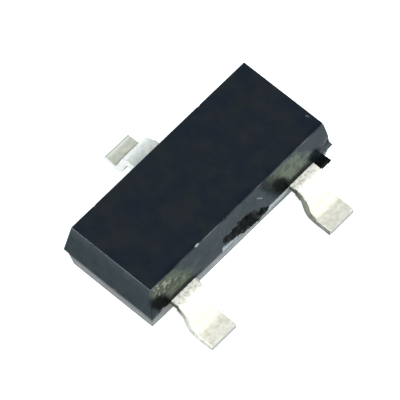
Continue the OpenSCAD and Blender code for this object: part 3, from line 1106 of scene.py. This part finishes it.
def crisp_stations(stations, edges):
    """Add stations just before and after each step of the plan, so that it stays a step."""
    full = []
    for a, b in zip(stations, stations[1:]):
        full.append(a)
        for r in [edge + s for edge in edges for s in (-0.0005, 0.0005)]:
            if a[0] < r < b[0]:
                t = (r - a[0]) / (b[0] - a[0])
                full.append(tuple(a[k] + (b[k] - a[k]) * t for k in range(3)))
    return full + [stations[-1]]


print(f"stubs of {STUB} mm stand {DAM_NEAR - HALF_WID:.3f} mm from the case")

# %% One formed lead
RAGGED_SIDE = 0.0025
LEAN_RUN = 0.15
FOOT_START = 0.98
TIP_RUN = 0.006


def side_lean(reach, height, seed):
    """How much a sheared side leans: not in the case, most on the way down, less on the foot."""
    lean = min(1.0, max(0.0, (reach - HALF_WID) / LEAN_RUN))
    lean *= 1 + 0.5 * rough(reach, 0.0, height, 0.06, seed + 9.0)
    return lean * (1 - 0.60 * min(1.0, max(0.0, (reach - FOOT_START) / 0.06)))


def lead(name, node, root, ledge, plan, mirror_x=1, turned=1, shift=0.0, seed=0.0, slant=(0.0, 0.0)):
    """One formed lead: turned is 1 for a lead that leaves towards -Y, -1 towards +Y."""
    stations = crisp_stations(strip_route(root, ledge), (plan[3], DAM_NEAR, DAM_NEAR + DAM_WID))
    last = stations[-1][0]
    labels = [point[2] for point in strip_section(-1, 1)]
    sides = [int(a == b == "side") for a, b in zip(labels, labels[1:] + labels[:1])]
    rings = []
    for reach, height, tilt in stations:
        left, right = half_plan(reach, plan)
        if reach > HALF_WID + 0.01:
            left += RAGGED_SIDE * rough(reach, height, 0.0, 0.05, seed + 6.0)
            right += RAGGED_SIDE * rough(reach, height, 0.0, 0.05, seed + 8.0)
        # The shears draw the cut tip in a little
        end = min(1.0, (last - reach) / TIP_RUN + 0.35)
        leans = [side_lean(reach, height, seed) * s for s in slant]
        ring = []
        for x, up, face in strip_section(left, right, leans):
            px = mirror_x * (shift + x)
            grow = dent(px, reach * turned, height, reach, seed) if reach > HALF_WID else 0.0
            up = up * (0.94 + 0.06 * end) + (grow if face == "top" else 0.0)
            ring.append((px, -turned * (reach + up * math.sin(tilt)), height + up * math.cos(tilt)))
        rings.append(ring)
    piece = skin(name, rings, [TIN, SHEARED], column_finish=sides, smooth_angle=50)
    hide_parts(node)
    return piece


print("a lead can be made")

# %% Three leads
POST_LEN = 0.44
POST_ROOT = HALF_WID + lead_high[1]
# Each plan: left and right edge of the widened plate, its inner and its outer end
POST = (lead_low[0] - PITCH, lead_high[0] - PITCH, -lead_high[1], POST_LEN - lead_high[1])
PADDLE_HALF = -rear_low[1]
PADDLE = (rear_low[0], rear_high[0], -PADDLE_HALF, PADDLE_HALF)
lead_1 = lead(
    "lead_left", "lead_1", POST_ROOT, LEDGE, POST,
    mirror_x=-1, shift=PITCH, seed=1.0, slant=(0.0, 0.014),
)
lead_2 = lead(
    "lead_right", "lead_2", POST_ROOT, LEDGE, POST,
    shift=PITCH, seed=2.0, slant=(0.026, 0.0),
)
lead_3 = lead(
    "lead_rear", "lead_3", HALF_WID + PADDLE_HALF, REAR_LEDGE, PADDLE,
    turned=-1, seed=3.0,
)
leads = [lead_1, lead_2, lead_3]
print("leads:", [len(p.data.polygons) for p in leads], "faces")

# %% [markdown]
# ## The chip and its wires
# Inside the case sits the chip, glued to the paddle, and a gold wire runs from each of
# its pads to a post. Nobody sees them once the resin is in, but the part would not work
# without them. The chip and its adhesive keep their frame solids. The wires are too
# fine for the frame's facets, so each is skinned again: a ball on the pad, a straight
# rise, a bend over the top, a straight run down and a flat stitch on the post.

# %% The route of a wire
WIRE = 0.025
BALL = 0.07
BALL_H = 0.03
RISE = 0.05
WIRE_BEND = 0.04
STITCH = 0.09
STITCH_THICK = 0.010
wire_low, wire_high = span("bond_wire_2")
PAD_X = wire_low[0] + BALL / 2
STITCH_X = wire_high[0] - STITCH / 2
STITCH_Y = wire_low[1] + STITCH / 2
PAD_TOP = die_high[2]


def wire_route():
    """Stations of a wire in its own upright plane: run, height, tilt and radius."""
    run = math.hypot(STITCH_X - PAD_X, STITCH_Y)
    drop = PAD_TOP + BALL_H + RISE - STRIP_TOP - WIRE / 2
    dip = math.atan2(drop, run - WIRE_BEND) + math.asin(WIRE_BEND / math.hypot(run - WIRE_BEND, drop))
    straight = (run - WIRE_BEND * (1 + math.sin(dip))) / math.cos(dip)
    up = math.pi / 2
    route = []
    for k in range(9):
        z = BALL_H * k / 8
        ball = math.sqrt(max(0.0, (BALL / 2) ** 2 - (z - BALL_H / 2) ** 2))
        route.append((0.0, z, up, ball))
    route.append((0.0, BALL_H, up, WIRE / 2))
    route.append((0.0, BALL_H + RISE, up, WIRE / 2))
    for k in range(1, 17):
        turn = (up + dip) * k / 16
        x = WIRE_BEND * (1 - math.cos(turn))
        route.append((x, BALL_H + RISE + WIRE_BEND * math.sin(turn), up - turn, WIRE / 2))
    x, z = route[-1][:2]
    for k in range(1, 13):
        t = straight * k / 12
        route.append((x + t * math.cos(dip), z - t * math.sin(dip), -dip, WIRE / 2))
    return route


print(f"wire route: {len(wire_route())} stations")

# %% Two bond wires
# Each ring of the stitch: its height and its radius
STITCH_RINGS = [
    (0.0, STITCH / 2),
    (0.6 * STITCH_THICK, STITCH / 2),
    (STITCH_THICK, 0.42 * STITCH),
]


def bond_wire(name, node, side):
    """One gold wire, with its ball, loop and stitch."""
    heading = math.atan2(STITCH_Y, STITCH_X - PAD_X)
    turns = np.linspace(0, 2 * math.pi, 16, endpoint=False)
    rings = []
    for x, z, tilt, radius in wire_route():
        ring = []
        for a in turns:
            across = radius * math.cos(a)
            along = x - radius * math.sin(a) * math.sin(tilt)
            px = PAD_X + along * math.cos(heading) - across * math.sin(heading)
            py = along * math.sin(heading) + across * math.cos(heading)
            ring.append((side * px, py, PAD_TOP + z + radius * math.sin(a) * math.cos(tilt)))
        rings.append(ring)
    wire = skin(name, rings, [GOLD], smooth_angle=50)
    disc = []
    for height, radius in STITCH_RINGS:
        disc.append([
            (side * STITCH_X + radius * math.cos(a), STITCH_Y + radius * math.sin(a), STRIP_TOP + height)
            for a in np.linspace(0, 2 * math.pi, 32, endpoint=False)
        ])
    join_solids(wire, [skin(name + "_stitch", disc, [GOLD], smooth_angle=50)], "UNION")
    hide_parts(node)
    return wire


wires = [bond_wire("wire_left", "bond_wire_1", -1), bond_wire("wire_right", "bond_wire_2", 1)]
print("wires:", [len(wire.data.polygons) for wire in wires], "faces")

# %% [markdown]
# ## Join the case and make room inside it
# The scar, the block and the films become one with the case, since they are the same
# resin. Then everything that the resin flowed round is cut out of it, so that no two
# pieces fill the same space. The frame's solids are in metres; copies of them are
# scaled up for the cut and removed again. The exact solver is slow but leaves no gaps.
# The top and the underside are flat shaded at the end, since smooth shading would bend
# the light over them towards the rounded edges.

# %% One case with its pockets
SOFT_TURN = 16
LEVEL = 0.9999


def enlarged_copy(node):
    """A frame solid in millimetres, for cutting."""
    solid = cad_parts[node].copy()
    solid.data = solid.data.copy()
    solid.data.transform(Matrix.Scale(1 / MM, 4))
    solid.parent = None
    bpy.context.scene.collection.objects.link(solid)
    return solid


join_solids(case, [bites], "DIFFERENCE")
bpy.data.objects.remove(bites)
join_solids(case, [gate_scar, dam_block, corner_film, flake_painted_reflection, front_film], "UNION")
inner = [enlarged_copy("die"), enlarged_copy("die_attach")]
join_solids(case, leads + wires + inner, "DIFFERENCE")
for solid in inner:
    bpy.data.objects.remove(solid)
shade(case.data, SOFT_TURN)
for face in case.data.polygons:
    if abs(face.normal.z) > LEVEL:
        face.use_smooth = False
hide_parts("body")
print(f"case with its pockets: {len(case.data.polygons)} faces")

# %% [markdown]
# ## From millimetres to metres
# Nothing moves in this part, so every piece rides on the one body, root. Each mesh is
# scaled to metres once, in its own points, so that no object carries a scale. The chip
# and its adhesive stay as the frame has them and only change their materials.

# %% Metres and riding
for node, material in (("die", SILICON), ("die_attach", ADHESIVE)):
    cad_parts[node].data.materials.clear()
    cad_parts[node].data.materials.append(material)
slots = [(case, "epoxy")]
slots += [(piece, "tin_plate") for piece in leads]
slots += [(wire, "gold_wire") for wire in wires]
for piece, slot in slots:
    piece.data.transform(Matrix.Scale(MM, 4))
    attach(piece, "root")

# %% [markdown]
# ## The camera
# The photograph looks down on the part at about 61 degrees, from the front left, with a
# long lens. The angles, the scale and the small shift come from fitting the case's
# corners and the feet to their places in the photograph. A camera placed by eye would
# come near, but then every part of the picture would lie a little off.

# %% Camera at the photograph's angle
AZIMUTH = math.radians(-45.81)
ELEVATION = math.radians(60.86)
ROLL_BACK = math.radians(-2.06)
DISTANCE = 60.0
AIM = Vector((0.0, 0.0, 0.5))
SIDE_STEP = 0.0168
UP_STEP = -0.0790
PIXELS_PER_MM = 92.48
SENSOR = 36.0
IMAGE = 400

flat = math.cos(ELEVATION)
back = Vector((math.sin(AZIMUTH) * flat, -math.cos(AZIMUTH) * flat, math.sin(ELEVATION)))
level = Vector((math.cos(AZIMUTH), math.sin(AZIMUTH), 0.0))
upward = back.cross(level)
right = math.cos(ROLL_BACK) * level + math.sin(ROLL_BACK) * upward
over = -math.sin(ROLL_BACK) * level + math.cos(ROLL_BACK) * upward
eye = AIM + back * DISTANCE + right * SIDE_STEP + over * UP_STEP

lens = bpy.data.cameras.new("camera")
lens.sensor_width = SENSOR
lens.lens = PIXELS_PER_MM * DISTANCE * SENSOR / IMAGE
lens.clip_start = 0.001
lens.clip_end = 10.0
camera = bpy.data.objects.new("camera", lens)
camera.matrix_world = Matrix.Translation(eye * MM) @ Matrix((right, over, back)).transposed().to_4x4()
bpy.context.scene.collection.objects.link(camera)
bpy.context.scene.camera = camera
print(f"lens {lens.lens:.0f} mm at {DISTANCE:.0f} mm")

# %% [markdown]
# ## Floor and light
# The part lies on white card. The card is lit like everything else, and adds a little
# glow of its own for the camera and for reflections, so that it comes out as paper
# white and still takes the part's soft shadow. The glossy walls and the bright tin show
# the card back, which is what makes them light in the photograph. The room above the
# part stays dim, and so the top face stays nearly black. A white background without a
# floor would be simpler, but the part would float on it.

# %% White card
CARD_HALF = 400.0
CARD_COLOUR = (0.71, 0.82, 0.87)
CARD_GLOW = 0.78


def white_card():
    """A wide level sheet of card with a glow of its own."""
    square = ((-1, -1), (1, -1), (1, 1), (-1, 1))
    corners = [(x * CARD_HALF, y * CARD_HALF, 0.0) for x, y in square]
    finish = Finish("white_card", Roughness=0.9, Specular_IOR_Level=0.0)
    fibres = finish.grain(0.5, detail=2.0)
    paler = tuple(c + 0.01 for c in CARD_COLOUR)
    finish.use("Base Color", finish.tones(fibres, 0.3, 0.7, CARD_COLOUR, paler))
    rays = finish.nodes.new("ShaderNodeLightPath")
    glow = finish.nodes.new("ShaderNodeEmission")
    mirrored = finish.maths("MAXIMUM", rays.outputs["Is Glossy Ray"], rays.outputs["Is Transmission Ray"])
    seen = finish.maths("MAXIMUM", rays.outputs["Is Camera Ray"], mirrored)
    finish.links.new(finish.times(seen, CARD_GLOW), glow.inputs["Strength"])
    both = finish.nodes.new("ShaderNodeAddShader")
    finish.links.new(finish.shader.outputs[0], both.inputs[0])
    finish.links.new(glow.outputs[0], both.inputs[1])
    finish.links.new(both.outputs[0], finish.nodes["Material Output"].inputs["Surface"])
    card = finish_mesh("card", corners, [[0, 1, 2, 3]], [finish.material])
    card.data.transform(Matrix.Scale(MM, 4))
    return card


white_card()
print("white card laid")

# %% Soft boxes and the dim room
ROOM = 0.44
ROOM_COLOUR = (0.82, 0.93, 1.0)


def soft_box(name, direction, distance, size, power):
    """A square lamp that looks at the part from a direction."""
    data = bpy.data.lights.new(name, "AREA")
    data.shape = "SQUARE"
    data.size = size * MM
    data.energy = power
    lamp = bpy.data.objects.new(name, data)
    place = Vector(direction).normalized() * distance * MM
    lamp.matrix_world = Matrix.Translation(place) @ place.to_track_quat("Z", "Y").to_matrix().to_4x4()
    bpy.context.scene.collection.objects.link(lamp)
    return lamp


soft_box("front_box", (0.35, -0.60, 0.73), 150.0, 100.0, 0.18)
soft_box("camera_box", (-0.45, -0.25, 0.85), 150.0, 80.0, 0.05)
soft_box("left_box", (-0.87, 0.34, 0.40), 160.0, 70.0, 0.12)
soft_box("rear_box", (0.35, 0.85, 0.40), 150.0, 80.0, 0.012)
world = bpy.data.worlds.new("room")
world.use_nodes = True
background = world.node_tree.nodes["Background"].inputs
background["Color"].default_value = (*ROOM_COLOUR, 1)
background["Strength"].default_value = ROOM
bpy.context.scene.world = world
bpy.context.scene.view_settings.view_transform = "Standard"
print("four soft boxes and a dim room")

# %% [markdown]
# ## The end

# %% Finish
print("the scene is ready")
